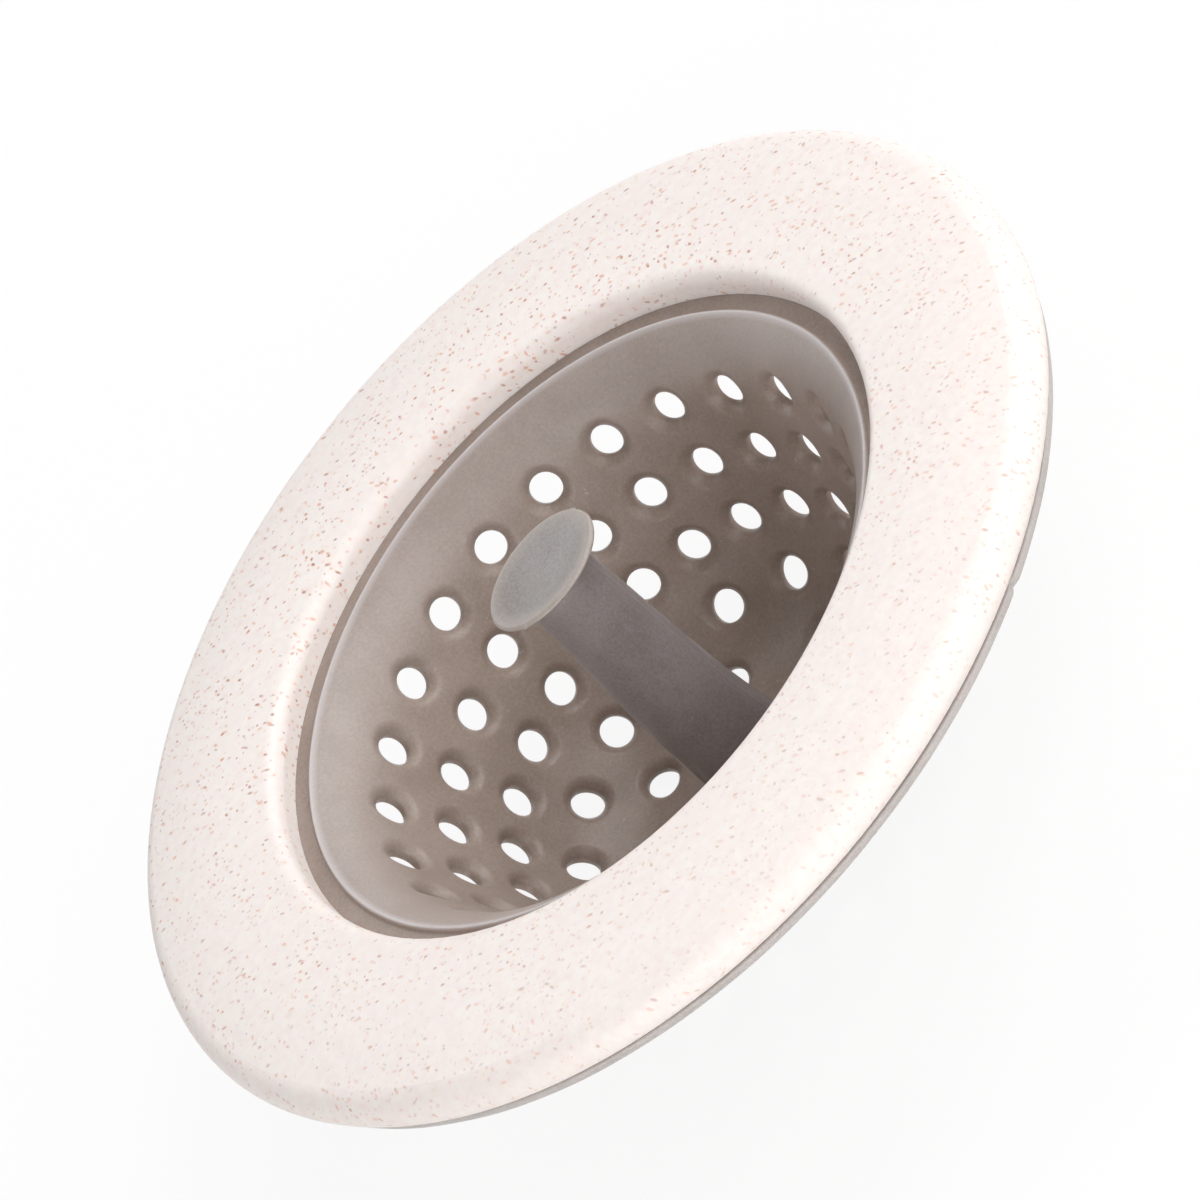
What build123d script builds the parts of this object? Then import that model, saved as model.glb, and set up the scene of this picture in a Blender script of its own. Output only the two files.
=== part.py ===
from build123d import *
import os
from math import acos, asin, atan2, cos, degrees, radians, sin, sqrt

# A drop-in kitchen sink strainer. A crowned hard ring sits on a soft sealing flange,
# and a soft perforated basket hangs through both. A post stands on the basket's
# floor and ends in a dished cap, which the fingers pull to lift the strainer out.
# Millimetres. +Z is up along the drain's axis, and Z = 0 is the underside of the
# flange, the face that lies on the sink's drain rim.

# Flange: the soft plate under the ring, with a tongue that centres the ring
flange_thickness = 1.75
flange_edge_inset = 0.35
flange_edge_round = 0.4
tongue_width = 1.6
tongue_height = 1.2

# Ring: the hard crowned rim, a shell that is open underneath
ring_diameter = 114.0
ring_bore = 75.6
ring_wall = 1.8
ring_foot_tuck = 0.76
ring_foot_width = 1.64
ring_widest_height = 1.38
ring_edge_radius = 3.0
ring_crown_height = 5.82
ring_apex_share = 0.2656
ring_bore_round = 1.6

# Basket: the soft perforated bowl, whose collar lies between flange and ring
collar_thickness = 2.28
collar_overlap = 1.1
lip_inset = 2.3
lip_rise = 0.54
lip_width = 0.45
lip_top_width = 0.2
neck_inset = 0.9
neck_recess = 0.3
basket_wall = 1.6
basket_depth = 26.4
mouth_angle = 58.0
mouth_flare_radius = 13.0
wall_angle = 22.3
floor_corner_radius = 14.2
pad_diameter = 15.2
pad_height = 0.6

# Drain holes: rows at one pitch down the wall and round onto the floor, each hole
# square to the wall, with a funnel on the inside
hole_diameter = 3.4
funnel_diameter = 5.4
funnel_depth = 0.55
first_row_drop = 0.5
row_pitch = 7.0
holes_in_rows = (24, 24, 24, 16, 8)
row_turns_in_degrees = (0.0, 0.0, 0.0, 17.2, 28.45)

# Handle: the tapered post, rooted in the floor's pad, and its dished cap
post_top_diameter = 8.3
post_foot_diameter = 10.9
post_flare = 1.5
post_flare_edge = 0.3
root_diameter = 6.0
root_length = 1.2
peg_diameter = 4.0
peg_length = 0.5
cap_diameter = 14.1
cap_top_height = 11.6
cap_edge_thickness = 1.2
cap_neck_height = 0.8
cap_dish_depth = 0.8

# Clearances between pieces that locate each other, and the overrun of a cutter
fit_clearance = 0.3
peg_clearance = 0.15
cut_overrun = 0.6

# Radii and heights that follow
ring_radius = ring_diameter / 2
bore_radius = ring_bore / 2
foot_radius = ring_radius - ring_foot_tuck
foot_inner_radius = foot_radius - ring_foot_width
collar_top = flange_thickness + collar_thickness
collar_radius = bore_radius + collar_overlap
lip_radius = bore_radius - lip_inset
lip_top = collar_top + lip_rise
neck_radius = lip_radius - neck_inset
floor_top = basket_wall - basket_depth
pad_top = floor_top + pad_height
cap_base = cap_top_height - cap_edge_thickness - cap_neck_height


def turned(outline):
    """The solid that a closed outline of (radius, height) sweeps round the drain's axis."""
    return revolve(Plane.XZ * make_face(outline), axis=Axis.Z)


def on_circle(centre, radius, angle):
    """The point at an angle, in degrees from outwards, on a circle of an outline."""
    return centre[0] + radius * cos(radians(angle)), centre[1] + radius * sin(radians(angle))


def arc(centre, radius, start, end):
    """The arc of an outline from one angle to another, in degrees from outwards."""
    middle = (start + end) / 2
    return ThreePointArc(*(on_circle(centre, radius, a) for a in (start, middle, end)))


def angle_to(start, end):
    """The direction from one point of an outline to another, in degrees from outwards."""
    return degrees(atan2(end[1] - start[1], end[0] - start[0]))


def rim_ring():
    """The crowned ring: an outer foot on the flange and an inner skirt on the collar."""
    widest = flange_thickness + ring_widest_height
    ring_width = ring_radius - bore_radius
    apex = (bore_radius + ring_apex_share * ring_width, flange_thickness + ring_crown_height)
    edge = (ring_radius - ring_edge_radius, widest)
    # the crown's radius is the one whose arc runs into the edge's arc without a kink
    across = edge[0] - apex[0]
    down = apex[1] - edge[1]
    crown_radius = (across**2 + down**2 - ring_edge_radius**2) / (2 * (down - ring_edge_radius))
    crown = (apex[0], apex[1] - crown_radius)
    edge_touch = angle_to(crown, edge)
    # the rounding of the bore touches the bore's wall and the crown
    reach = bore_radius + ring_bore_round
    rise = sqrt((crown_radius - ring_bore_round) ** 2 - (reach - crown[0]) ** 2)
    bore_round = (reach, crown[1] + rise)
    bore_touch = angle_to(crown, bore_round)
    # the hollow below follows the crown and the edge, one wall inside them
    skirt_radius = bore_radius + ring_wall
    ceiling_radius = crown_radius - ring_wall
    ceiling_start = degrees(acos((skirt_radius - crown[0]) / ceiling_radius))
    foot_arc = TangentArc((ring_radius, widest), (foot_radius, flange_thickness), tangent=(0, -1))
    outline = [
        foot_arc,
        Polyline(
            (foot_radius, flange_thickness),
            (foot_inner_radius, flange_thickness),
            on_circle(edge, ring_edge_radius - ring_wall, 0),
        ),
        arc(edge, ring_edge_radius - ring_wall, 0, edge_touch),
        arc(crown, ceiling_radius, edge_touch, ceiling_start),
        Polyline(
            on_circle(crown, ceiling_radius, ceiling_start),
            (skirt_radius, collar_top),
            (bore_radius, collar_top),
            (bore_radius, bore_round[1]),
        ),
        arc(bore_round, ring_bore_round, 180, bore_touch),
        arc(crown, crown_radius, bore_touch, edge_touch),
        arc(edge, ring_edge_radius, edge_touch, 0),
    ]
    return turned(outline)


def sealing_flange():
    """The flat soft plate, bored for the basket's neck, with the ring's centring tongue."""
    bore = neck_radius + fit_clearance
    edge = foot_radius - flange_edge_inset
    tongue_outer = foot_inner_radius - fit_clearance
    tongue_inner = tongue_outer - tongue_width
    tongue_top = flange_thickness + tongue_height
    plate = make_face(Polyline(
        (bore, 0), (edge, 0), (edge, flange_thickness), (tongue_outer, flange_thickness),
        (tongue_outer, tongue_top), (tongue_inner, tongue_top), (tongue_inner, flange_thickness),
        (bore, flange_thickness), close=True,
    ))
    plate = fillet(plate.vertices().group_by(Axis.X)[-1], flange_edge_round)
    return revolve(Plane.XZ * plate, axis=Axis.Z)


def basket_path():
    """The basket's inner line: mouth arc centre, wall start, wall run and corner centre."""
    lip = (lip_radius - lip_top_width / 2, lip_top)
    mouth = on_circle(lip, mouth_flare_radius, -mouth_angle)
    start = on_circle(mouth, mouth_flare_radius, 180 - wall_angle)
    slope = radians(wall_angle)
    run = (start[1] - floor_top - floor_corner_radius * (1 - sin(slope))) / cos(slope)
    corner_x = start[0] - run * sin(slope) - floor_corner_radius * cos(slope)
    return mouth, start, run, (corner_x, floor_top + floor_corner_radius)


def hole_cutter(drop):
    """One drain hole with its funnel, at a distance down the middle of the wall."""
    mouth, start, run, corner = basket_path()
    past = drop - run
    middle_radius = floor_corner_radius + basket_wall / 2
    slope = -wall_angle - degrees(max(past, 0) / middle_radius)
    below = on_circle((0, 0), max(-past, 0), 90 - wall_angle)
    inside = on_circle(corner, floor_corner_radius, slope)
    inside = (inside[0] + below[0], inside[1] + below[1])
    outward = (cos(radians(slope)), 0, sin(radians(slope)))
    hole_plane = Plane(origin=(inside[0], 0, inside[1]), z_dir=outward)
    bottom = (Align.CENTER, Align.CENTER, Align.MIN)
    length = basket_wall + 2 * cut_overrun
    widening = (funnel_diameter - hole_diameter) / 2 / funnel_depth
    hole = Pos(0, 0, -cut_overrun) * Cylinder(hole_diameter / 2, length, align=bottom)
    funnel = Pos(0, 0, -cut_overrun) * Cone(
        funnel_diameter / 2 + widening * cut_overrun,
        hole_diameter / 2,
        funnel_depth + cut_overrun,
        align=bottom,
    )
    return hole_plane * (hole + funnel)


def bowl():
    """The bowl without its pad: collar, lip, flared mouth, steep wall, round corner, floor."""
    mouth, start, run, corner = basket_path()
    outer_mouth = mouth_flare_radius - basket_wall
    outer_corner = floor_corner_radius + basket_wall
    wall_side = 180 - wall_angle
    neck_side = 180 - degrees(asin((neck_recess - mouth[1]) / outer_mouth))
    outline = [
        arc(mouth, mouth_flare_radius, 180 - mouth_angle, wall_side),
        Line(start, on_circle(corner, floor_corner_radius, -wall_angle)),
        arc(corner, floor_corner_radius, -wall_angle, -90),
        Polyline((corner[0], floor_top), (0, floor_top), (0, -basket_depth), (corner[0], -basket_depth)),
        arc(corner, outer_corner, -90, -wall_angle),
        Line(on_circle(corner, outer_corner, -wall_angle), on_circle(mouth, outer_mouth, wall_side)),
        arc(mouth, outer_mouth, wall_side, neck_side),
        Polyline(
            on_circle(mouth, outer_mouth, neck_side),
            (neck_radius, neck_recess),
            (neck_radius, flange_thickness),
            (collar_radius, flange_thickness),
            (collar_radius, collar_top),
            (lip_radius + lip_width, collar_top),
            (lip_radius + lip_top_width / 2, lip_top),
            (lip_radius - lip_top_width / 2, lip_top),
        ),
    ]
    return turned(outline)


def strainer_basket():
    """The bowl with the pad on its floor, the socket for the post's root and the drain holes."""
    pad_radius = pad_diameter / 2
    pad = turned(Polyline(
        (0, floor_top - basket_wall / 2),
        (pad_radius + pad_height, floor_top - basket_wall / 2),
        (pad_radius + pad_height, floor_top),
        (pad_radius, pad_top),
        (0, pad_top),
        close=True,
    ))
    depth = root_length + peg_clearance
    top = (Align.CENTER, Align.CENTER, Align.MAX)
    socket = Pos(0, 0, pad_top) * Cylinder(root_diameter / 2 + peg_clearance, depth, align=top)
    cutters = [socket]
    for row, (count, turn) in enumerate(zip(holes_in_rows, row_turns_in_degrees)):
        cutter = hole_cutter(first_row_drop + row * row_pitch)
        cutters += [place * cutter for place in PolarLocations(0, count, turn)]
    return bowl() + pad - cutters


def handle_post():
    """The tapered post: a root in the pad's socket, a flared foot and a peg for the cap."""
    foot_radius_of_post = post_foot_diameter / 2
    flare_radius = foot_radius_of_post + post_flare
    flare_base = pad_top + post_flare_edge
    outline = [
        Polyline(
            (foot_radius_of_post, flare_base + post_flare),
            (post_top_diameter / 2, cap_base),
            (peg_diameter / 2, cap_base),
            (peg_diameter / 2, cap_base + peg_length),
            (0, cap_base + peg_length),
            (0, pad_top - root_length),
            (root_diameter / 2, pad_top - root_length),
            (root_diameter / 2, pad_top),
            (flare_radius, pad_top),
            (flare_radius, flare_base),
        ),
        arc((flare_radius, flare_base + post_flare), post_flare, -90, -180),
    ]
    return turned(outline)


def handle_cap():
    """The dished cap: a thin round-edged disc with a short neck that widens from the post."""
    socket_radius = peg_diameter / 2 + peg_clearance
    socket_top = cap_base + peg_length + peg_clearance
    edge_radius = cap_edge_thickness / 2
    edge = (cap_diameter / 2 - edge_radius, cap_top_height - edge_radius)
    dish_radius = (edge[0] ** 2 + cap_dish_depth**2) / (2 * cap_dish_depth)
    dish = (0, cap_top_height - cap_dish_depth + dish_radius)
    outline = [
        arc(edge, edge_radius, -90, 90),
        arc(dish, dish_radius, angle_to(dish, (edge[0], cap_top_height)), -90),
        Polyline(
            (0, cap_top_height - cap_dish_depth),
            (0, socket_top),
            (socket_radius, socket_top),
            (socket_radius, cap_base),
            (post_top_diameter / 2, cap_base),
            (edge[0], edge[1] - edge_radius),
        ),
    ]
    return turned(outline)


nodes = {
    "rim_ring": rim_ring,
    "sealing_flange": sealing_flange,
    "strainer_basket": strainer_basket,
    "handle_post": handle_post,
    "handle_cap": handle_cap,
}
os.makedirs("parts", exist_ok=True)
for name, make in nodes.items():
    export_step(make(), f"parts/{name}.step")
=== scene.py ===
# %% [markdown]
# A kitchen sink strainer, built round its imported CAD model.
# The real object is a hard cream ring with straw flecks in it, pressed over a soft grey
# insert: a sealing plate, a perforated bowl and a pull post with a dished cap. The frame
# holds the true places and the motion, so this script only makes the surfaces. Sizes are
# in millimetres until a piece is finished, and Blender gets metres.
# %% Load the frame
from math import asin, atan2, cos, exp, pi, radians, sin, tan, tau

import bmesh
import bpy
from mathutils import Matrix, Quaternion, Vector


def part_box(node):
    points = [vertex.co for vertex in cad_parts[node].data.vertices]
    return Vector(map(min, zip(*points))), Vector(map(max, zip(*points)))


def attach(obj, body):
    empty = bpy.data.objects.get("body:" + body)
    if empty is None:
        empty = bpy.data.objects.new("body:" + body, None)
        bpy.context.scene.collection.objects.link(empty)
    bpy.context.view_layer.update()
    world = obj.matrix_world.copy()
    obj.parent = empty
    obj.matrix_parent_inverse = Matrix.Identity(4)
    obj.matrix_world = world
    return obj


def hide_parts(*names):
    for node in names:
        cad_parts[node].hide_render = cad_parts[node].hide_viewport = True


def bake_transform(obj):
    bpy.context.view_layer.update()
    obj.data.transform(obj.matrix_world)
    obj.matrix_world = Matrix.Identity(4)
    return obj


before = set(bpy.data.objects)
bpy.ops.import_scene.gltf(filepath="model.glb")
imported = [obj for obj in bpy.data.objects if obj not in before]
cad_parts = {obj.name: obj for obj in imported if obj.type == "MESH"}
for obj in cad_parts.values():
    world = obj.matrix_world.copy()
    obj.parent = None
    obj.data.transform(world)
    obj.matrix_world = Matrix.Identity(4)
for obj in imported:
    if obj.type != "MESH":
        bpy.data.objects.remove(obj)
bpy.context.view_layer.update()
mm = 0.001


def cad_size(node):
    """The radius, lowest and highest height of a turned CAD node, in millimetres."""
    low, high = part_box(node)
    return high.x / mm, low.z / mm, high.z / mm


ring_radius = cad_size("rim_ring")[0]
flange_radius, _, tongue_top = cad_size("sealing_flange")
collar_radius, basket_underside, lip_top = cad_size("strainer_basket")
foot_flare_radius, root_bottom, peg_top = cad_size("handle_post")
cap_radius, cap_base, cap_top = cad_size("handle_cap")
print("nodes", sorted(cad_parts), "ring radius", round(ring_radius, 2))

# %% [markdown]
# The camera comes first, because every judgement about the looks is made through it.
# The photograph was taken with a long lens from about 34 degrees above the ring, and it is
# turned on its side by 51 degrees, so that the drain's axis points to the upper left. A
# camera is easiest to read as an orbit: aim, distance, azimuth, elevation, and then roll.
# %% Camera
camera_aim = Vector((2.31, 2.01, 3.03))
camera_distance = 1903.2
camera_azimuth = -0.9
camera_elevation = 34.06
camera_roll = -50.83
picture_pixels = 1200
focal_pixels = 19371
sensor_width = 36.0

lens = bpy.data.cameras.new("long_lens")
lens.sensor_width = sensor_width
lens.lens = sensor_width * focal_pixels / picture_pixels
lens.clip_start = 0.1
lens.clip_end = 20
camera = bpy.data.objects.new("camera", lens)
level = Matrix.Rotation(radians(90 - camera_elevation), 4, "X")
orbit = Matrix.Rotation(radians(camera_azimuth), 4, "Z") @ level
reach = Matrix.Translation((0, 0, camera_distance * mm))
roll = Matrix.Rotation(radians(camera_roll), 4, "Z")
camera.matrix_world = Matrix.Translation(camera_aim * mm) @ orbit @ reach @ roll
bpy.context.scene.collection.objects.link(camera)
bpy.context.scene.camera = camera
print("lens", round(lens.lens), "mm, camera at", [round(c, 3) for c in camera.matrix_world.translation])

# %% [markdown]
# Colours are read from a swatch as sRGB hex values, but a shader works in linear light, so
# one function turns them. Nodes are added by one more, which makes a node, sets its
# properties and links its inputs, so that each material reads as a short list.
# %% Colours and nodes


def linear(swatch):
    """An sRGB hex colour, such as F4EAE4, as linear red, green, blue and alpha."""
    parts = [int(swatch[i:i + 2], 16) / 255 for i in (0, 2, 4)]
    return [c / 12.92 if c <= 0.04045 else ((c + 0.055) / 1.055) ** 2.4 for c in parts] + [1.0]


def add(material, kind, settings=None, **sockets):
    """A new node of a kind, with its settings, and a value or a link for each named socket."""
    node = material.node_tree.nodes.new(kind)
    for name, value in (settings or {}).items():
        setattr(node, name, value)
    for name, value in sockets.items():
        socket = next(s for s in node.inputs if s.identifier == name or s.name.replace(" ", "_") == name)
        if isinstance(value, bpy.types.NodeSocket):
            material.node_tree.links.new(value, socket)
        else:
            socket.default_value = value
    return node


def new_material(name):
    """An empty material, with a shader and an output that are linked."""
    material = bpy.data.materials.new(name)
    material.use_nodes = True
    material.node_tree.nodes.clear()
    shader = add(material, "ShaderNodeBsdfPrincipled")
    add(material, "ShaderNodeOutputMaterial", Surface=shader.outputs[0])
    return material, shader


def set_shader(material, shader, **sockets):
    """Values or links for the shader's named sockets."""
    for name, value in sockets.items():
        socket = shader.inputs[name.replace("_", " ")]
        if isinstance(value, bpy.types.NodeSocket):
            material.node_tree.links.new(value, socket)
        else:
            socket.default_value = value


# %% [markdown]
# The floor is plain and pale. A white sweep in a studio is brighter than anything on it,
# but more light would bleach the object. So most of the floor's white is a glow that only
# the camera and reflections see, and the rest is lit, which keeps a faint shadow under the
# strainer. The world does the same: it is white to the camera, white low down in a
# reflection, as the sweep behind the floor would be, and dim to all other light. The
# object itself is lit by six soft boxes, strongest from the right and the front left.
# %% White to the camera
floor_reach = 3.0
floor_gap = 0.05
floor_glow = 0.88
room_glow = 0.02
sweep_top_start = 0.2
sweep_top_end = 0.5


def seen_white(material, share_mirrored=1.0):
    """1 for the camera, a share of that in a reflection or through glass, and 0 for other light."""
    path = add(material, "ShaderNodeLightPath").outputs
    bounced = add(
        material, "ShaderNodeMath", {"operation": "MAXIMUM"},
        Value=path["Is Glossy Ray"], Value_001=path["Is Transmission Ray"],
    )
    mirrored = add(
        material, "ShaderNodeMath", {"operation": "MULTIPLY"},
        Value=bounced.outputs[0], Value_001=share_mirrored,
    )
    return add(
        material, "ShaderNodeMath", {"operation": "MAXIMUM"},
        Value=path["Is Camera Ray"], Value_001=mirrored.outputs[0],
    ).outputs[0]


# %% Floor


def soft_white_floor():
    """Matt studio paper, which looks white to the camera and stays pale to all other light."""
    material, shader = new_material("studio_paper_white")
    through = seen_white(material)
    glow = add(material, "ShaderNodeMath", {"operation": "MULTIPLY"}, Value=through, Value_001=floor_glow)
    paper = add(material, "ShaderNodeMix", {"data_type": "RGBA"}, Factor_Float=through)
    paper.inputs["A"].default_value = linear("E8E6E3")
    paper.inputs["B"].default_value = [1 - floor_glow] * 3 + [1]
    material.node_tree.links.new(paper.outputs["Result"], shader.inputs["Base Color"])
    set_shader(material, shader, Roughness=1.0, Specular_IOR_Level=0.0, Emission_Color=(1, 1, 1, 1))
    material.node_tree.links.new(glow.outputs[0], shader.inputs["Emission Strength"])
    return material


def studio_floor():
    """One large square under the basket."""
    shape = bmesh.new()
    bmesh.ops.create_grid(shape, x_segments=1, y_segments=1, size=floor_reach / 2)
    bmesh.ops.translate(shape, verts=shape.verts, vec=(0, 0, (basket_underside - floor_gap) * mm))
    mesh = bpy.data.meshes.new("studio_floor")
    shape.to_mesh(mesh)
    shape.free()
    floor = bpy.data.objects.new("studio_floor", mesh)
    floor.data.materials.append(soft_white_floor())
    bpy.context.scene.collection.objects.link(floor)
    return floor


studio_floor()
print("floor at", round(basket_underside - floor_gap, 2), "mm")

# %% Soft boxes and the pale room
lamp_distance = 1.0
lamp_side = 0.8
soft_boxes = (
    # name, azimuth, elevation, watts
    ("right_soft_box", 22, 38, 5.5),
    ("front_left_soft_box", 225, 15, 5.3),
    ("front_right_soft_box", 337, 38, 4.1),
    ("back_reflector", 112, 38, 3.4),
    ("front_reflector", 270, 15, 2.8),
    ("high_reflector", 292, 38, 2.6),
)


def soft_box(name, azimuth, elevation, watts):
    """A square white lamp that faces the strainer from an azimuth (0 is +X) and an elevation."""
    light = bpy.data.lights.new(name, "AREA")
    light.shape = "SQUARE"
    light.size = lamp_side
    light.energy = watts
    lamp = bpy.data.objects.new(name, light)
    direction = Vector((
        cos(radians(azimuth)) * cos(radians(elevation)),
        sin(radians(azimuth)) * cos(radians(elevation)),
        sin(radians(elevation)),
    ))
    lamp.location = direction * lamp_distance
    lamp.rotation_euler = direction.to_track_quat("Z", "Y").to_euler()
    bpy.context.scene.collection.objects.link(lamp)
    return lamp


lamps = [soft_box(*box) for box in soft_boxes]

world = bpy.data.worlds.new("pale_studio")
world.use_nodes = True
backdrop = world.node_tree.nodes["Background"]
backdrop.inputs["Color"].default_value = (1, 1, 1, 1)
skyward = add(world, "ShaderNodeSeparateXYZ", Vector=add(world, "ShaderNodeTexCoord").outputs["Generated"])
sweep = add(
    world, "ShaderNodeMapRange", {"interpolation_type": "SMOOTHSTEP"}, Value=skyward.outputs["Z"],
    From_Min=sweep_top_start, From_Max=sweep_top_end, To_Min=1.0, To_Max=0.0,
)
backdrop_strength = add(
    world, "ShaderNodeMapRange", Value=seen_white(world, sweep.outputs[0]), To_Min=room_glow, To_Max=1.0,
)
world.node_tree.links.new(backdrop_strength.outputs[0], backdrop.inputs["Strength"])
bpy.context.scene.world = world
bpy.context.scene.view_settings.view_transform = "Standard"
print("lamps", [lamp.name for lamp in lamps])

# %% [markdown]
# The ring is polypropylene filled with milled wheat straw, injection moulded in a satin
# tool. Light goes a little way into it, so its edges are soft, and the straw shows as
# small tan, rust and grey-violet flakes, with paler and blurred ones that lie deeper. Dots
# of one round shape would look printed, so each kind of flake is one pattern of 3D cells,
# and a cell's own random colour says if it holds a flake, which way the flake points, how
# big it is and how deep it lies. The distance to the cell's point is counted less along
# the flake's axis, which draws the round dot out into a sliver.
# %% Flakes of straw
cell_offset = (0.37, 0.11, 0.23)
faintest_flake = 0.45


def flake_distance(material, place, cells, length, width):
    """The distance to a cell's point, counted less along an axis that the cell's colour picks."""
    away = add(
        material, "ShaderNodeVectorMath", {"operation": "SUBTRACT"},
        Vector=place, Vector_001=cells.outputs["Position"],
    )
    lean = add(
        material, "ShaderNodeVectorMath", {"operation": "SUBTRACT"},
        Vector=cells.outputs["Color"], Vector_001=(0.5, 0.5, 0.5),
    )
    axis = add(material, "ShaderNodeVectorMath", {"operation": "NORMALIZE"}, Vector=lean.outputs[0])
    along = add(
        material, "ShaderNodeVectorMath", {"operation": "DOT_PRODUCT"},
        Vector=away.outputs[0], Vector_001=axis.outputs[0],
    )
    shorten = add(
        material, "ShaderNodeMath", {"operation": "MULTIPLY"},
        Value=along.outputs["Value"], Value_001=width / length - 1,
    )
    pull = add(
        material, "ShaderNodeVectorMath", {"operation": "SCALE"},
        Vector=axis.outputs[0], Scale=shorten.outputs[0],
    )
    squeezed = add(
        material, "ShaderNodeVectorMath", {"operation": "ADD"},
        Vector=away.outputs[0], Vector_001=pull.outputs[0],
    )
    distance = add(material, "ShaderNodeVectorMath", {"operation": "LENGTH"}, Vector=squeezed.outputs[0])
    return distance.outputs["Value"]


def flake_layer(material, place, crowd, spacing, share, length, width, edge, seed):
    """A mask of flakes: lengths in mm, and the share of cells that hold one where crowd is 1."""
    moved = add(
        material, "ShaderNodeVectorMath", {"operation": "ADD"},
        Vector=place, Vector_001=[seed * offset for offset in cell_offset],
    ).outputs[0]
    cells = add(
        material, "ShaderNodeTexVoronoi", {"voronoi_dimensions": "3D"},
        Vector=moved, Scale=1 / (spacing * mm),
    )
    distance = flake_distance(material, moved, cells, length, width)
    chance = add(material, "ShaderNodeSeparateColor", Color=cells.outputs["Color"])
    radius = add(
        material, "ShaderNodeMapRange", Value=chance.outputs["Green"],
        To_Min=width * mm / 4, To_Max=width * mm / 2,
    )
    inside = add(
        material, "ShaderNodeMath", {"operation": "SUBTRACT"}, Value=radius.outputs[0], Value_001=distance,
    )
    mask = add(material, "ShaderNodeMapRange", Value=inside.outputs[0], From_Max=edge * mm)
    odds = add(material, "ShaderNodeMath", {"operation": "MULTIPLY"}, Value=crowd, Value_001=share)
    picked = add(
        material, "ShaderNodeMath", {"operation": "LESS_THAN"},
        Value=chance.outputs["Red"], Value_001=odds.outputs[0],
    )
    strength = add(material, "ShaderNodeMapRange", Value=chance.outputs["Blue"], To_Min=faintest_flake)
    kept = add(
        material, "ShaderNodeMath", {"operation": "MULTIPLY"},
        Value=picked.outputs[0], Value_001=strength.outputs[0],
    )
    whole = add(
        material, "ShaderNodeMath", {"operation": "MULTIPLY"},
        Value=mask.outputs[0], Value_001=kept.outputs[0],
    )
    return whole.outputs[0]


# %% [markdown]
# Mixing straw into plastic is never even: flakes gather in clusters a few millimetres
# across, and the flakes are drawn fainter towards -Y and stronger towards +Y. The
# plastic between them is cream, with slow clouds and a faint pink mottle. A small warp
# bends every flake, and a slight bump stands for the tool's satin surface, which is finer
# than the render can show.
# %% Straw-filled polypropylene
flake_layers = (
    # spacing, share of cells, flake length, flake width, soft edge, strength, colour: lengths in mm
    (2.2, 0.50, 2.4, 1.40, 0.50, 0.20, "E4B7A8"),
    (0.84, 0.58, 1.25, 0.52, 0.14, 0.74, "E0A88C"),
    (0.89, 0.53, 1.18, 0.47, 0.14, 0.86, "B8795F"),
    (1.15, 0.30, 1.00, 0.38, 0.10, 0.65, "927F86"),
)
cluster_size = 7.0
fewest_flakes, most_flakes = 0.4, 1.6
faint_side_strength, strong_side_strength = 0.5, 1.35
warp_size, warp_reach = 0.8, 0.25
cream_cloud_size = 14.0
mottle_size = 1.1
satin_size, satin_height = 0.5, 0.02


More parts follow.
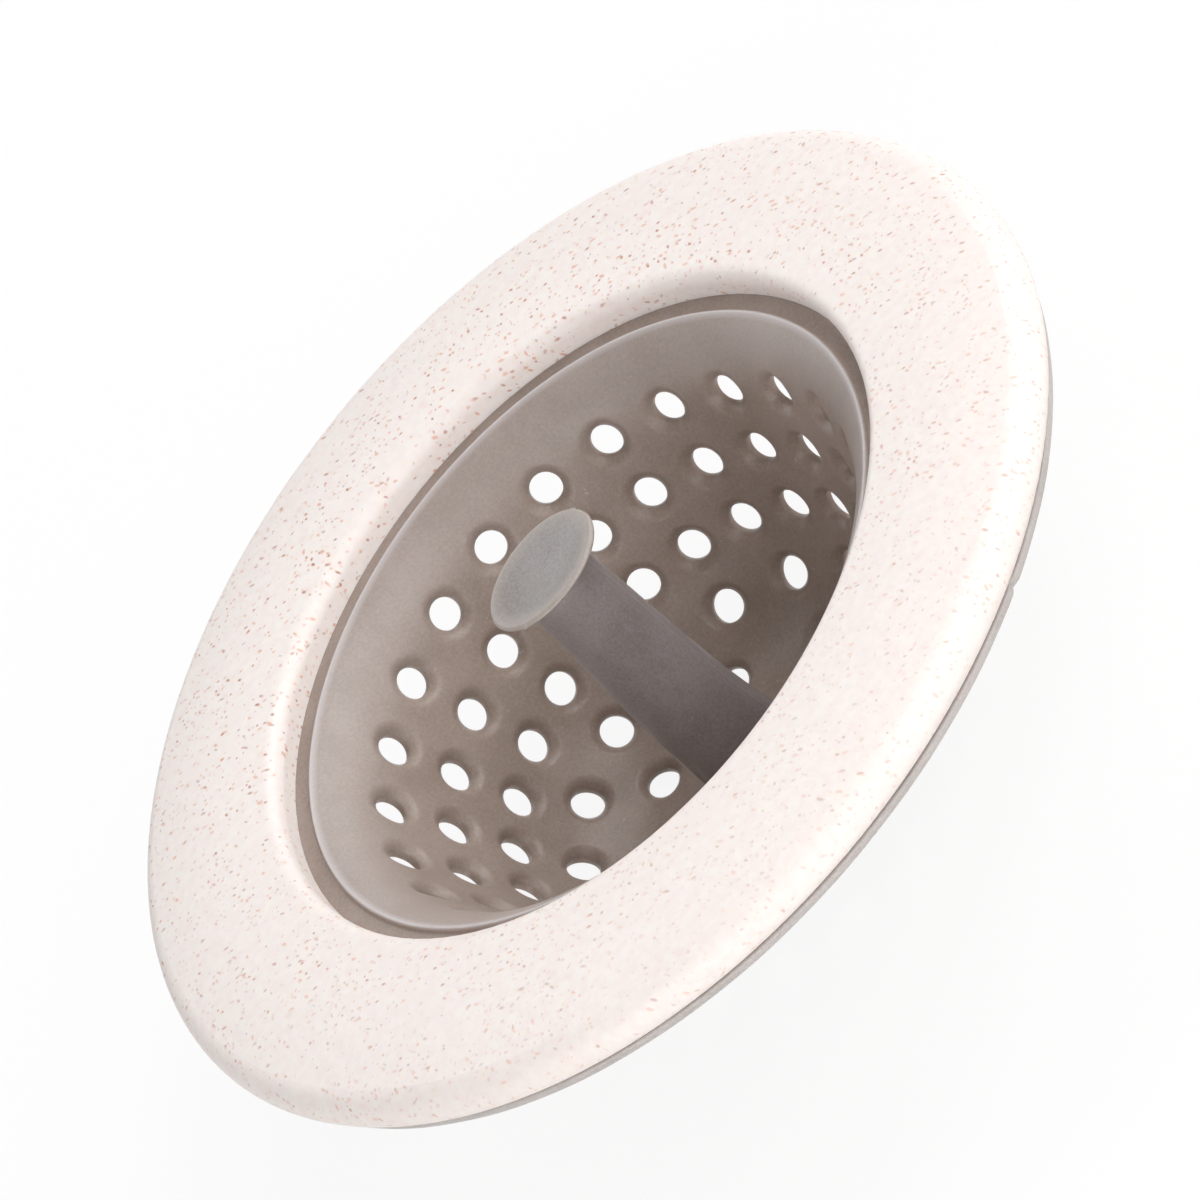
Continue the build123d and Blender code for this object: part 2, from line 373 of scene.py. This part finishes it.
def straw_filled_polypropylene():
    """Satin cream plastic with straw flakes of several colours near its surface."""
    material, shader = new_material("straw_filled_polypropylene")
    where = add(material, "ShaderNodeTexCoord").outputs["Object"]
    warp = add(material, "ShaderNodeTexNoise", Vector=where, Scale=1 / (warp_size * mm), Detail=2.0)
    place = add(
        material, "ShaderNodeVectorMath", {"operation": "MULTIPLY_ADD"},
        Vector=warp.outputs["Color"], Vector_001=(warp_reach * mm,) * 3, Vector_002=where,
    ).outputs[0]
    cloud = add(material, "ShaderNodeTexNoise", Vector=where, Scale=1 / (cream_cloud_size * mm), Detail=3.0)
    mottle = add(
        material, "ShaderNodeTexNoise", Vector=where, Scale=1 / (mottle_size * mm), Detail=3.0, Roughness=0.6,
    )
    blotch = add(material, "ShaderNodeMapRange", Value=mottle.outputs["Fac"], From_Min=0.35, From_Max=0.75)
    cream = add(
        material, "ShaderNodeMix", {"data_type": "RGBA"}, Factor_Float=cloud.outputs["Fac"],
        A_Color=linear("F6EDEA"), B_Color=linear("F9F1EB"),
    )
    base = add(
        material, "ShaderNodeMix", {"data_type": "RGBA"}, Factor_Float=blotch.outputs[0],
        A_Color=cream.outputs["Result"], B_Color=linear("F3E7E3"),
    )
    colour = base.outputs["Result"]
    gather = add(material, "ShaderNodeTexNoise", Vector=where, Scale=1 / (cluster_size * mm), Detail=2.0)
    crowd = add(
        material, "ShaderNodeMapRange", Value=gather.outputs["Fac"], From_Min=0.3, From_Max=0.7,
        To_Min=fewest_flakes, To_Max=most_flakes,
    ).outputs[0]
    across = add(material, "ShaderNodeSeparateXYZ", Vector=where)
    # Flakes are drawn fainter towards -Y and stronger towards +Y.
    depth = add(
        material, "ShaderNodeMapRange", Value=across.outputs["Y"],
        From_Min=-ring_radius * mm, From_Max=ring_radius * mm, To_Min=faint_side_strength, To_Max=strong_side_strength,
    ).outputs[0]
    for seed, (spacing, share, length, width, edge, strength, swatch) in enumerate(flake_layers, start=1):
        mask = flake_layer(material, place, crowd, spacing, share, length, width, edge, seed)
        weight = add(material, "ShaderNodeMath", {"operation": "MULTIPLY"}, Value=mask, Value_001=strength)
        faded = add(
            material, "ShaderNodeMath", {"operation": "MULTIPLY"}, Value=weight.outputs[0], Value_001=depth,
        )
        over = add(
            material, "ShaderNodeMix", {"data_type": "RGBA"}, Factor_Float=faded.outputs[0],
            A_Color=colour, B_Color=linear(swatch),
        )
        colour = over.outputs["Result"]
    satin = add(material, "ShaderNodeTexNoise", Vector=where, Scale=1 / (satin_size * mm))
    bump = add(
        material, "ShaderNodeBump", Height=satin.outputs["Fac"], Strength=0.12, Distance=satin_height * mm,
    )
    set_shader(
        material, shader, Base_Color=colour, Roughness=0.46, IOR=1.49, Normal=bump.outputs[0],
        Subsurface_Weight=0.25, Subsurface_Radius=(1.0, 0.6, 0.45), Subsurface_Scale=1.2 * mm,
    )
    return material


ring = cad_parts["rim_ring"]
ring.data.materials.clear()
ring.data.materials.append(straw_filled_polypropylene())
print("ring faces", len(ring.data.polygons))

# %% [markdown]
# The insert is thermoplastic rubber, a soft plastic that moulds like polypropylene and
# bonds to it. It is matt, slightly cloudy and lets some light through, so its narrow lip and
# the walls of its holes glow a little, and its colour gets browner where light has bounced
# from wall to wall. One recipe with a few settings makes the bowl, plate, post and cap. A
# vertex attribute, from 0 to 1, says where light is painted into the colour as a paler
# tone: a painted glow on the bowl's lip, a painted sheen inside its flared mouth, and
# painted highlights on the cap's rim and on the fine lines where mould halves met.
# The eroded mould gives the rubber a grain too fine to show, so it is drawn at 0.3 mm.
# %% Thermoplastic rubber
cloud_size = 7.0
grain_size = 0.3
grain_height = 0.03
dust_size = 0.55


def thermoplastic_rubber(name, swatch, cloud_swatch, dust_and_painted_light_swatch, glow_depth, grain_tone=0.5):
    """Matt cloudy rubber: two near colours in slow clouds, grain, pale dust and painted light."""
    material, shader = new_material(name)
    where = add(material, "ShaderNodeTexCoord").outputs["Object"]
    cloud = add(
        material, "ShaderNodeTexNoise", Vector=where, Scale=1 / (cloud_size * mm), Detail=5.0, Roughness=0.62,
    )
    drift = add(material, "ShaderNodeMapRange", Value=cloud.outputs["Fac"], From_Min=0.3, From_Max=0.7)
    grain = add(material, "ShaderNodeTexNoise", Vector=where, Scale=1 / (grain_size * mm), Detail=3.0)
    fine = add(
        material, "ShaderNodeMapRange", {"clamp": False}, Value=grain.outputs["Fac"],
        From_Min=0.3, From_Max=0.7, To_Min=-grain_tone, To_Max=grain_tone,
    )
    grained = add(
        material, "ShaderNodeMath", {"operation": "ADD"}, Value=drift.outputs[0], Value_001=fine.outputs[0],
    )
    tint = add(
        material, "ShaderNodeMix", {"data_type": "RGBA"}, Factor_Float=grained.outputs[0],
        A_Color=linear(swatch), B_Color=linear(cloud_swatch),
    )
    speck = add(material, "ShaderNodeTexNoise", Vector=where, Scale=1 / (dust_size * mm), Detail=1.0)
    dust = add(
        material, "ShaderNodeMapRange", Value=speck.outputs["Fac"], From_Min=0.74, From_Max=0.80, To_Max=0.35,
    )
    # The vertex attribute read here is painted light: a paler tone that stands for glow, sheen and
    # highlights. The pale dust and this painted light mix towards one swatch.
    thin = add(material, "ShaderNodeAttribute", {"attribute_name": "thin"}).outputs["Fac"]
    light = add(material, "ShaderNodeMath", {"operation": "MAXIMUM"}, Value=dust.outputs[0], Value_001=thin)
    colour = add(
        material, "ShaderNodeMix", {"data_type": "RGBA"}, Factor_Float=light.outputs[0],
        A_Color=tint.outputs["Result"], B_Color=linear(dust_and_painted_light_swatch),
    )
    bump = add(
        material, "ShaderNodeBump", Height=grain.outputs["Fac"], Strength=0.5, Distance=grain_height * mm,
    )
    set_shader(
        material, shader, Base_Color=colour.outputs["Result"], Roughness=0.36, IOR=1.45,
        Normal=bump.outputs[0], Subsurface_Weight=0.5, Subsurface_Radius=(1.0, 0.75, 0.6),
        Subsurface_Scale=glow_depth * mm,
    )
    return material


rubber_bowl = thermoplastic_rubber("moulded_rubber_bowl", "A8988F", "9A8A7F", "CFCCCE", 1.6)
rubber_plate = thermoplastic_rubber("moulded_rubber_plate", "C3BEBC", "B6B1AE", "D8D4D2", 1.2)
rubber_post = thermoplastic_rubber("moulded_rubber_post", "8E8584", "7E7574", "AAA4A1", 1.0)
rubber_cap = thermoplastic_rubber("moulded_rubber_cap", "9B9593", "8B8582", "B8ADA5", 1.2, grain_tone=0.9)
print("rubbers", [rubber.name for rubber in (rubber_bowl, rubber_plate, rubber_post, rubber_cap)])

# %% [markdown]
# The bowl is the hard part: 96 round holes square to a curved wall, each with a soft
# funnel on its inner side. Cutting them leaves ragged shading, so one cell of wall with one
# hole is modelled flat, from the cell's border inwards to the funnel, down through the
# wall and out again to the same border on the far side. The cell is then rolled on to the
# bowl and copied round, and the borders of all the cells are merged.
# %% The bowl's section
mouth_flare_radius = 13.0
mouth_angle = 58.0
wall_angle = 22.3
floor_corner_radius = 14.2
basket_wall = 1.6
lip_width = 0.2
lip_radius = 35.5
neck_radius = 34.6
neck_recess = 0.3
collar_top = 4.03
flange_thickness = 1.75
floor_top = basket_underside + basket_wall
pad_radius = 7.6
pad_height = 0.6
floor_middle_radius = 5.0


def on_circle(centre, radius, angle):
    """The point at an angle, in degrees from outwards, on a circle of the bowl's section."""
    return centre[0] + radius * cos(radians(angle)), centre[1] + radius * sin(radians(angle))


lip_point = (lip_radius - lip_width / 2, lip_top)
mouth_centre = on_circle(lip_point, mouth_flare_radius, -mouth_angle)
wall_start = on_circle(mouth_centre, mouth_flare_radius, 180 - wall_angle)
corner_drop = floor_corner_radius * (1 - sin(radians(wall_angle)))
wall_run = (wall_start[1] - floor_top - corner_drop) / cos(radians(wall_angle))
corner_centre = (
    wall_start[0] - wall_run * sin(radians(wall_angle)) - floor_corner_radius * cos(radians(wall_angle)),
    floor_top + floor_corner_radius,
)


def bowl_point(along, depth):
    """Radius and height of a point so far along the wall's middle line, and so deep into it."""
    if along < 0:
        swing = min(-along / (mouth_flare_radius - basket_wall / 2), radians(mouth_angle - wall_angle))
        return on_circle(mouth_centre, mouth_flare_radius - depth, 180 - wall_angle - swing * 360 / tau)
    if along < wall_run:
        start = on_circle(mouth_centre, mouth_flare_radius - depth, 180 - wall_angle)
        return on_circle(start, along, -90 - wall_angle)
    swing = (along - wall_run) / (floor_corner_radius + basket_wall / 2)
    return on_circle(corner_centre, floor_corner_radius + depth, -wall_angle - swing * 360 / tau)


print("wall run", round(wall_run, 2), "mm, corner centre", [round(c, 2) for c in corner_centre])

# %% [markdown]
# Each ring of the hole is the last one extruded and pulled on to a circle. A vertex
# attribute keeps the place on the border that each point came from, which gives its
# direction from the hole's middle and, at the end, its place on the far side's border.
# %% One cell of wall with its hole
hole_radius = 1.7
funnel_radius = 3.0
funnel_depth = 0.62
funnel_rings = 7
funnel_sharpness = 2.2
rim_round = 0.16
row_pitch = 7.0
first_row = 0.5
step_angle = 1.875
cell_steps_down = 8
rows = ((24, 0.0), (24, 0.0), (24, 0.0), (16, 17.2), (8, 28.45))  # holes in the row, first one's azimuth


def funnel_section():
    """Radius and depth of each ring from the funnel's rim to the far end of the hole."""
    section = []
    for i in range(funnel_rings + 1):
        share = i / funnel_rings
        radius = funnel_radius + (hole_radius + rim_round - funnel_radius) * share
        section.append((radius, funnel_depth * share ** funnel_sharpness))
    section.append((hole_radius + rim_round * 0.3, funnel_depth + rim_round * 0.7))
    section.append((hole_radius, funnel_depth + rim_round * 1.8))
    section.append((hole_radius, basket_wall - rim_round))
    section.append((hole_radius + rim_round * 0.3, basket_wall - rim_round * 0.3))
    section.append((hole_radius + rim_round, basket_wall))
    section.append((hole_radius + rim_round * 4, basket_wall))
    return section


def next_loop(shape, loop):
    """The loop's edges extruded once: the new edges and their vertices."""
    made = bmesh.ops.extrude_edge_only(shape, edges=loop)["geom"]
    verts = [g for g in made if isinstance(g, bmesh.types.BMVert)]
    fresh = set(verts)
    edges = [g for g in made if isinstance(g, bmesh.types.BMEdge) and set(g.verts) <= fresh]
    return edges, verts


def wall_cell(row, count, turn):
    """A cell of one row, rolled on to the bowl: its border on both sides and its funnelled hole."""
    shape = bmesh.new()
    steps = round(360 / count / step_angle)
    middle = first_row + row * row_pitch
    first_step = round((turn - 180 / count) / step_angle)
    border = Matrix.Translation((radians((first_step + steps / 2) * step_angle), middle, 0))
    stretch = Matrix.Diagonal((radians(180 / count), row_pitch / 2, 1, 1))
    bmesh.ops.create_grid(
        shape, x_segments=steps, y_segments=cell_steps_down, size=1, matrix=border @ stretch,
    )
    inner = [v for v in shape.verts if not v.is_boundary]
    bmesh.ops.delete(shape, geom=inner, context="VERTS")
    bmesh.ops.delete(shape, geom=shape.faces[:], context="FACES_ONLY")
    home = shape.verts.layers.float_vector.new("home")
    for v in shape.verts:
        v[home] = v.co
    loop = shape.edges[:]
    for radius, depth in funnel_section():
        loop, verts = next_loop(shape, loop)
        for v in verts:
            girth = bowl_point(middle, depth)[0]
            away = Vector(((v[home].x - radians(turn)) * girth, v[home].y - middle)).normalized() * radius
            here = bowl_point(middle + away.y, depth)[0]
            v.co = (radians(turn) + away.x / here, middle + away.y, depth)
    loop, verts = next_loop(shape, loop)
    for v in verts:
        v.co = (v[home].x, v[home].y, basket_wall)
    for v in shape.verts:
        radius, height = bowl_point(v.co.y, v.co.z)
        v.co = (radius * cos(v.co.x), radius * sin(v.co.x), height)
    return shape


# %% [markdown]
# The rest of the bowl is round all the way, so its border loops are carried along the
# section in the same way: one extrusion for each point of the outline, and each new loop
# is set to that point's radius and height.
# %% Helpers for round pieces
merge_distance = 0.002
bowl_crease = radians(50)


def carried(shape, loop, outline):
    """A loop round the axis, extruded to each radius and height of an outline in turn."""
    for radius, height in outline:
        loop, verts = next_loop(shape, loop)
        for v in verts:
            flat = Vector((v.co.x, v.co.y)).normalized() * radius
            v.co = (flat.x, flat.y, height)
    return loop


def open_loops(shape):
    """The open border loops, each a list of edges, by height and radius: lowest first."""
    edges = {e for e in shape.edges if e.is_boundary}
    loops = []
    while edges:
        found = [edges.pop()]
        for e in found:
            near = {n for v in e.verts for n in v.link_edges} & edges
            edges -= near
            found.extend(near)
        loops.append(found)
    return sorted(loops, key=lambda loop: (round(loop[0].verts[0].co.z, 2), loop[0].verts[0].co.xy.length))


def finished(shape, name, material, crease):
    """The bmesh as an object in metres, its faces turned outwards, smooth up to a crease's angle."""
    bmesh.ops.remove_doubles(shape, verts=shape.verts, dist=merge_distance)
    bmesh.ops.recalc_face_normals(shape, faces=shape.faces)
    bmesh.ops.scale(shape, verts=shape.verts, vec=(mm, mm, mm))
    mesh = bpy.data.meshes.new(name)
    shape.to_mesh(mesh)
    shape.free()
    mesh.shade_smooth()
    mesh.set_sharp_from_angle(angle=crease)
    piece = bpy.data.objects.new(name, mesh)
    piece.data.materials.append(material)
    bpy.context.scene.collection.objects.link(piece)
    print(name, len(mesh.polygons), "faces,", len([e for e in mesh.edges if e.is_loose]), "loose edges")
    return piece


def mark_painted_light(shape, painted_light_at):
    """The attribute that the rubber reads: how much painted light, as a paler tone, each vertex gets, from 0
    to 1.
    """
    layer = shape.verts.layers.float.new("thin")
    for v in shape.verts:
        v[layer] = painted_light_at(v)


def bump_at(position, middle, width):
    """A smooth bump of height 1 at a place, which dies away within about twice its width."""
    return exp(-((position - middle) / width) ** 2)


def smooth(position, start, end):
    """0 before the start, 1 after the end, and a smooth step between them."""
    share = min(max((position - start) / (end - start), 0), 1)
    return share * share * (3 - 2 * share)


# %% The whole bowl
# Painted light on the bowl: a painted glow along its lip, and a fainter painted sheen down the inside of its
# flared mouth.
lip_painted_glow = 0.8
lip_fade_down = 0.16
lip_fade_out = 0.3
flare_painted_sheen = 0.19
flare_fade_start = wall_start[1] - 2.5
flare_fade_end = lip_top - 1.5
lip_rounding = (
    # outwards from the lip's radius, up from its top
    (-0.05, 0.03), (0.06, 0.02), (0.14, -0.05), (0.30, -0.32),
)
collar_rise = 0.42, 0.08
collar_bend = 0.6
collar_edge = 0.7
flare_steps = 7


def bowl_painted_light(v):
    """A painted glow on the narrow lip, and a fainter painted sheen inside the flared mouth."""
    lip = bump_at(v.co.z, lip_top, lip_fade_down) * bump_at(v.co.xy.length, lip_radius, lip_fade_out)
    inside = v.co.xy.length < lip_radius + lip_width / 2
    return max(lip_painted_glow * lip, flare_painted_sheen * inside * smooth(v.co.z, flare_fade_start, flare_fade_end))


def perforated_bowl():
    """The basket: five rows of cells, the floor, and the mouth with its lip and collar."""
    shape = bmesh.new()
    for row, (count, turn) in enumerate(rows):
        cell = wall_cell(row, count, turn)
        bmesh.ops.spin(
            cell, geom=cell.verts[:] + cell.edges[:] + cell.faces[:], cent=(0, 0, 0), axis=(0, 0, 1),
            angle=tau * (count - 1) / count, steps=count - 1, use_duplicate=True,
        )
        part = bpy.data.meshes.new("row")
        cell.to_mesh(part)
        cell.free()
        shape.from_mesh(part)
        bpy.data.meshes.remove(part)
    bmesh.ops.remove_doubles(shape, verts=shape.verts, dist=merge_distance)
    floor_out, floor_in, mouth_out, mouth_in = open_loops(shape)
    last_row = first_row + (len(rows) - 0.5) * row_pitch
    corner_end = wall_run + radians(90 - wall_angle) * (floor_corner_radius + basket_wall / 2)
    path = [last_row + (corner_end - last_row) * i / 2 for i in (1, 2)]
    inside = [bowl_point(s, 0) for s in path]
    inside += [
        (pad_radius + pad_height, floor_top), (pad_radius, floor_top + pad_height),
        (floor_middle_radius, floor_top + pad_height),
    ]
    floor_in = carried(shape, floor_in, inside)
    bmesh.ops.edgeloop_fill(shape, edges=floor_in)
    outside = [bowl_point(s, basket_wall) for s in path] + [(floor_middle_radius, basket_underside)]
    floor_out = carried(shape, floor_out, outside)
    bmesh.ops.edgeloop_fill(shape, edges=floor_out)
    mouth_length = radians(mouth_angle - wall_angle) * (mouth_flare_radius - basket_wall / 2)
    top_row = row_pitch / 2 - first_row
    flare_step = (mouth_length - top_row) / flare_steps
    inside = [bowl_point(-top_row - flare_step * i, 0) for i in range(1, flare_steps + 1)]
    inside += [(lip_radius + out, lip_top + up) for out, up in lip_rounding]
    inside += [
        (lip_radius + collar_rise[0], collar_top + collar_rise[1]), (lip_radius + collar_bend, collar_top),
        (collar_radius - collar_edge, collar_top), (collar_radius, collar_top),
        (collar_radius, flange_thickness), (neck_radius, flange_thickness), (neck_radius, neck_recess),
    ]
    mouth_in = carried(shape, mouth_in, inside)
    outer = mouth_flare_radius - basket_wall
    neck_swing = asin((neck_recess - mouth_centre[1]) / outer)
    neck_point = (mouth_centre[0] - outer * cos(neck_swing), neck_recess)
    mouth_in = carried(shape, mouth_in, [neck_point])
    bmesh.ops.bridge_loops(shape, edges=mouth_in + mouth_out)
    mark_painted_light(shape, bowl_painted_light)
    return finished(shape, "perforated_bowl", rubber_bowl, bowl_crease)


bowl = perforated_bowl()
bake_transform(bowl)
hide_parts("strainer_basket")

# %% [markdown]
# The plate, post and cap are round too, but a lathe's perfect circle would look like one.
# Each is turned from an outline whose corners are rounded by arcs, and then its points are
# moved a little where the real moulding shows it: a trimmed edge that wanders, a parting
# line, small nubs of flash. The moves are written in the angle round the axis and the
# height, so they stay readable.
# %% Turned pieces with moulding marks
turned_crease = radians(40)


def rounded(corners, arc_step=15):
    """An outline whose corners, each a radius, a height and a rounding, are replaced by arcs."""
    outline = []
    for i, (radius, height, rounding) in enumerate(corners):
        here = Vector((radius, height))
        if not rounding:
            outline.append(here)
            continue
        before = (Vector(corners[i - 1][:2]) - here).normalized()
        after = (Vector(corners[(i + 1) % len(corners)][:2]) - here).normalized()
        half = before.angle(after) / 2
        centre = here + (before + after).normalized() * rounding / sin(half)
        start = here + before * rounding / tan(half) - centre
        turn = start.angle_signed(here + after * rounding / tan(half) - centre)
        steps = max(2, round(abs(turn) / radians(arc_step)))
        outline += [centre + Matrix.Rotation(-turn * i / steps, 2) @ start for i in range(steps + 1)]
    return outline


def divided(outline, longest):
    """The same outline with points added, so that no run is longer than a length."""
    finer = []
    for here, after in zip(outline, outline[1:] + [outline[-1]]):
        count = max(1, int((after - here).length / longest) + 1)
        finer += [here.lerp(after, i / count) for i in range(count)]
    return finer


def turned(outline, steps, closed=False):
    """A mesh swept round the axis from an outline; a closed one doesn't touch the axis."""
    shape = bmesh.new()
    verts = [shape.verts.new((point.x, 0, point.y)) for point in outline]
    edges = [shape.edges.new(pair) for pair in zip(verts, verts[1:])]
    if closed:
        edges.append(shape.edges.new((verts[-1], verts[0])))
    bmesh.ops.spin(
        shape, geom=verts + edges, cent=(0, 0, 0), axis=(0, 0, 1), angle=tau, steps=steps, use_merge=True,
    )
    bmesh.ops.remove_doubles(shape, verts=shape.verts, dist=merge_distance / 2)
    return shape


def around(v, azimuth):
    """The distance in millimetres from a vertex to an azimuth in degrees, along its circle."""
    swing = (atan2(v.co.y, v.co.x) - radians(azimuth) + pi) % tau - pi
    return swing * v.co.xy.length


# %% Sealing plate
plate_bore = neck_radius + 0.3
tongue_radius = ring_radius - 2.7
tongue_width = 1.6
rebate_height = 0.65
rebate_depth = 1.2
foot_round = 0.6
top_round = 0.3
bore_round = 0.2
trim_width = 0.9
trim_wander = 0.07
trim_waves = ((5, 1.0, 1), (13, 0.6, 0), (31, 0.4, 2))  # waves in a turn, height, start
notch_azimuth = -60.0
notch_depth = 0.45
notch_width = 0.5
plate_steps = 720
plate_crease = radians(35)


def sealing_plate():
    """The soft plate: rounded trimmed edge, the ring's centring tongue, one nick in the edge."""
    edge_top = flange_thickness - rebate_height
    rebate_radius = flange_radius - rebate_depth
    tongue_inside = tongue_radius - tongue_width
    outline = rounded([
        (plate_bore, 0, bore_round), (flange_radius, 0, foot_round), (flange_radius, edge_top, top_round),
        (rebate_radius, edge_top, 0), (rebate_radius, flange_thickness, 0),
        (tongue_radius, flange_thickness, 0), (tongue_radius, tongue_top, top_round),
        (tongue_inside, tongue_top, top_round), (tongue_inside, flange_thickness, 0),
        (plate_bore, flange_thickness, bore_round),
    ])
    shape = turned(outline, plate_steps, closed=True)
    for v in shape.verts:
        if v.co.xy.length > flange_radius - trim_width:
            turn = atan2(v.co.y, v.co.x)
            wave = sum(height * sin(count * turn + start) for count, height, start in trim_waves) / 2
            nick = notch_depth * bump_at(around(v, notch_azimuth), 0, notch_width)
            v.co.xy *= 1 + (trim_wander * (wave - 1) - nick) / v.co.xy.length
    return finished(shape, "sealing_plate", rubber_plate, plate_crease)


plate = sealing_plate()
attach(plate, "strainer")
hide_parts("sealing_flange")

# %% [markdown]
# The post was moulded in two halves, so a fine raised line runs up it on both sides. It is
# soft rubber and doesn't stand quite straight: measured from its two edges in the
# photograph, its upper half leans over by a millimetre, and the cap tips with it. Both
# pieces go through one function for that, so they stay seated on each other.
# %% The handle's lean
lean_start = -13.5
lean_end = 11.5
lean_offset = (1.05, 0.85)
tip_start = 2.0
tip_normal = (-0.03, 0.12, 1.0)


def leaned(point):
    """A point of the straight handle, moved to where the leaning handle has it."""
    swing = Vector((0, 0, 1)).rotation_difference(Vector(tip_normal))
    tip = Quaternion().slerp(swing, smooth(point.z, tip_start, cap_base))
    pivot = Vector((0, 0, min(point.z, cap_base)))
    return pivot + tip @ (point - pivot) + Vector((*lean_offset, 0)) * smooth(pivot.z, lean_start, lean_end)


print("lean", lean_offset, "mm")

# %% Post
pad_top = floor_top + pad_height
post_root_radius = 3.0
post_top_radius = 4.15
post_foot_radius = 5.45
post_foot_height = 1.8
post_foot_taper = 0.05
foot_curve = 1.3
foot_curve_height = 0.3
foot_lip_width = 0.4
foot_lip_height = 0.22
foot_lip_round = 0.1
post_top_drop = 0.2
post_top_inset = 0.12
peg_radius = 2.0
peg_round = 0.15
longest_run = 1.2
seam_azimuths = (-33.0, 147.0)
seam_height = 0.05
seam_width = 0.12
# The parting lines also get a painted highlight, a paler tone in their colour.
seam_painted_highlight = 0.15
seam_inner_radius = post_top_radius - 0.2
seam_bottom = pad_top + 0.1
post_steps = 360


def seam(v):
    """The height, from 0 to 1, of the two parting lines, on the post's outer face alone."""
    if v.co.xy.length < seam_inner_radius or v.co.z < seam_bottom:
        return 0
    return max(bump_at(around(v, azimuth), 0, seam_width) for azimuth in seam_azimuths)


def pull_post():
    """The tapered post with its root, flared foot, peg and the two raised parting lines."""
    outline = divided(rounded([
        (0, root_bottom, 0), (post_root_radius, root_bottom, peg_round), (post_root_radius, pad_top, 0),
        (foot_flare_radius, pad_top, 0),
        (foot_flare_radius - foot_lip_width, pad_top + foot_lip_height, foot_lip_round),
        (post_foot_radius, pad_top + foot_curve_height, foot_curve),
        (post_foot_radius - post_foot_taper, pad_top + post_foot_height, 0),
        (post_top_radius, cap_base - post_top_drop, 0), (post_top_radius - post_top_inset, cap_base, 0),
        (peg_radius, cap_base, 0), (peg_radius, peg_top, peg_round), (0, peg_top, 0),
    ]), longest_run)
    shape = turned(outline, post_steps)
    # A painted highlight along the raised parting lines.
    mark_painted_light(shape, lambda v: seam_painted_highlight * seam(v))
    for v in shape.verts:
        v.co.xy *= 1 + seam_height * seam(v) / max(v.co.xy.length, post_root_radius)
        v.co = leaned(v.co)
    return finished(shape, "pull_post", rubber_post, turned_crease)


post = pull_post()
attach(post, "handle")
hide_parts("handle_post")

# %% [markdown]
# The cap is a shallow dish whose edge is a full round with a fine line where the two mould
# halves met, and two nubs of flash stand on it. A faint raised arc in the dish is left by
# the pin that pushed the moulding out.
# %% Cap
cap_neck_radius = 4.15
cap_socket_radius = 2.15
socket_top = peg_top + 0.15
dish_underside = socket_top + 0.1
cap_edge_height = 0.75
cap_edge_round = 0.36
cap_underside_width = 1.1
cap_underside_round = 0.5
cap_steps = 300
dish_depth = 0.85
dish_reach = cap_radius - 0.75
dish_rings = 36
# The top of the cap's rim gets a painted highlight, a paler tone in its colour.
rim_painted_highlight = 0.5
rim_fade_width = 2.6

# %% The cap's moulding marks
edge_middle = cap_top - cap_edge_height / 2
edge_width = 0.4
line_height = 0.05
line_width = 0.12
flash_azimuths = (21.0, 220.0)
flash_length = 0.24
flash_width = 0.2
flash_thickness = 0.3
pin_centre = (0.57, 3.34)
pin_radius = 1.8
pin_mark_side = (-0.35, 0.94)
pin_mark_height = 0.08
pin_mark_width = 0.13


def cap_rim_painted_highlight(v):
    """A painted highlight on the top side of the cap's rim, growing towards its outer edge."""
    out = smooth(v.co.xy.length, cap_radius - rim_fade_width, cap_radius)
    return rim_painted_highlight * out * smooth(v.co.z, cap_top - cap_edge_height, cap_top - cap_edge_round)


def mark_moulding(v):
    """The parting line and flash on the cap's edge, and the pin's mark in its dish."""
    out = v.co.xy.length
    if out > cap_radius - edge_width:
        line = line_height * bump_at(v.co.z, edge_middle, line_width)
        nub = flash_length * max(bump_at(around(v, azimuth), 0, flash_width) for azimuth in flash_azimuths)
        v.co.xy *= 1 + (line + nub * bump_at(v.co.z, edge_middle, flash_thickness)) / out
    elif v.co.z > dish_underside:
        from_pin = v.co.xy - Vector(pin_centre)
        facing = max(0, -from_pin.normalized().dot(Vector(pin_mark_side))) ** 3
        v.co.z += pin_mark_height * facing * bump_at(from_pin.length, pin_radius, pin_mark_width)


def dished_cap():
    """The dish with its rounded edge, short neck and socket, flash nubs and the pin's mark."""
    dish = [dish_reach * (1 - i / dish_rings) for i in range(dish_rings + 1)]
    edge_bottom = cap_top - cap_edge_height
    outline = rounded([
        (0, socket_top, 0), (cap_socket_radius, socket_top, 0), (cap_socket_radius, cap_base, 0),
        (cap_neck_radius, cap_base, 0), (cap_radius - cap_underside_width, edge_bottom, cap_underside_round),
        (cap_radius, edge_bottom, cap_edge_round), (cap_radius, cap_top, cap_edge_round),
    ] + [(reach, cap_top - dish_depth * (1 - (reach / dish_reach) ** 2), 0) for reach in dish])
    shape = turned(outline, cap_steps)
    mark_painted_light(shape, cap_rim_painted_highlight)
    for v in shape.verts:
        mark_moulding(v)
        v.co = leaned(v.co)
    return finished(shape, "dished_cap", rubber_cap, turned_crease)


cap = dished_cap()
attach(cap, "handle")
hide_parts("handle_cap")
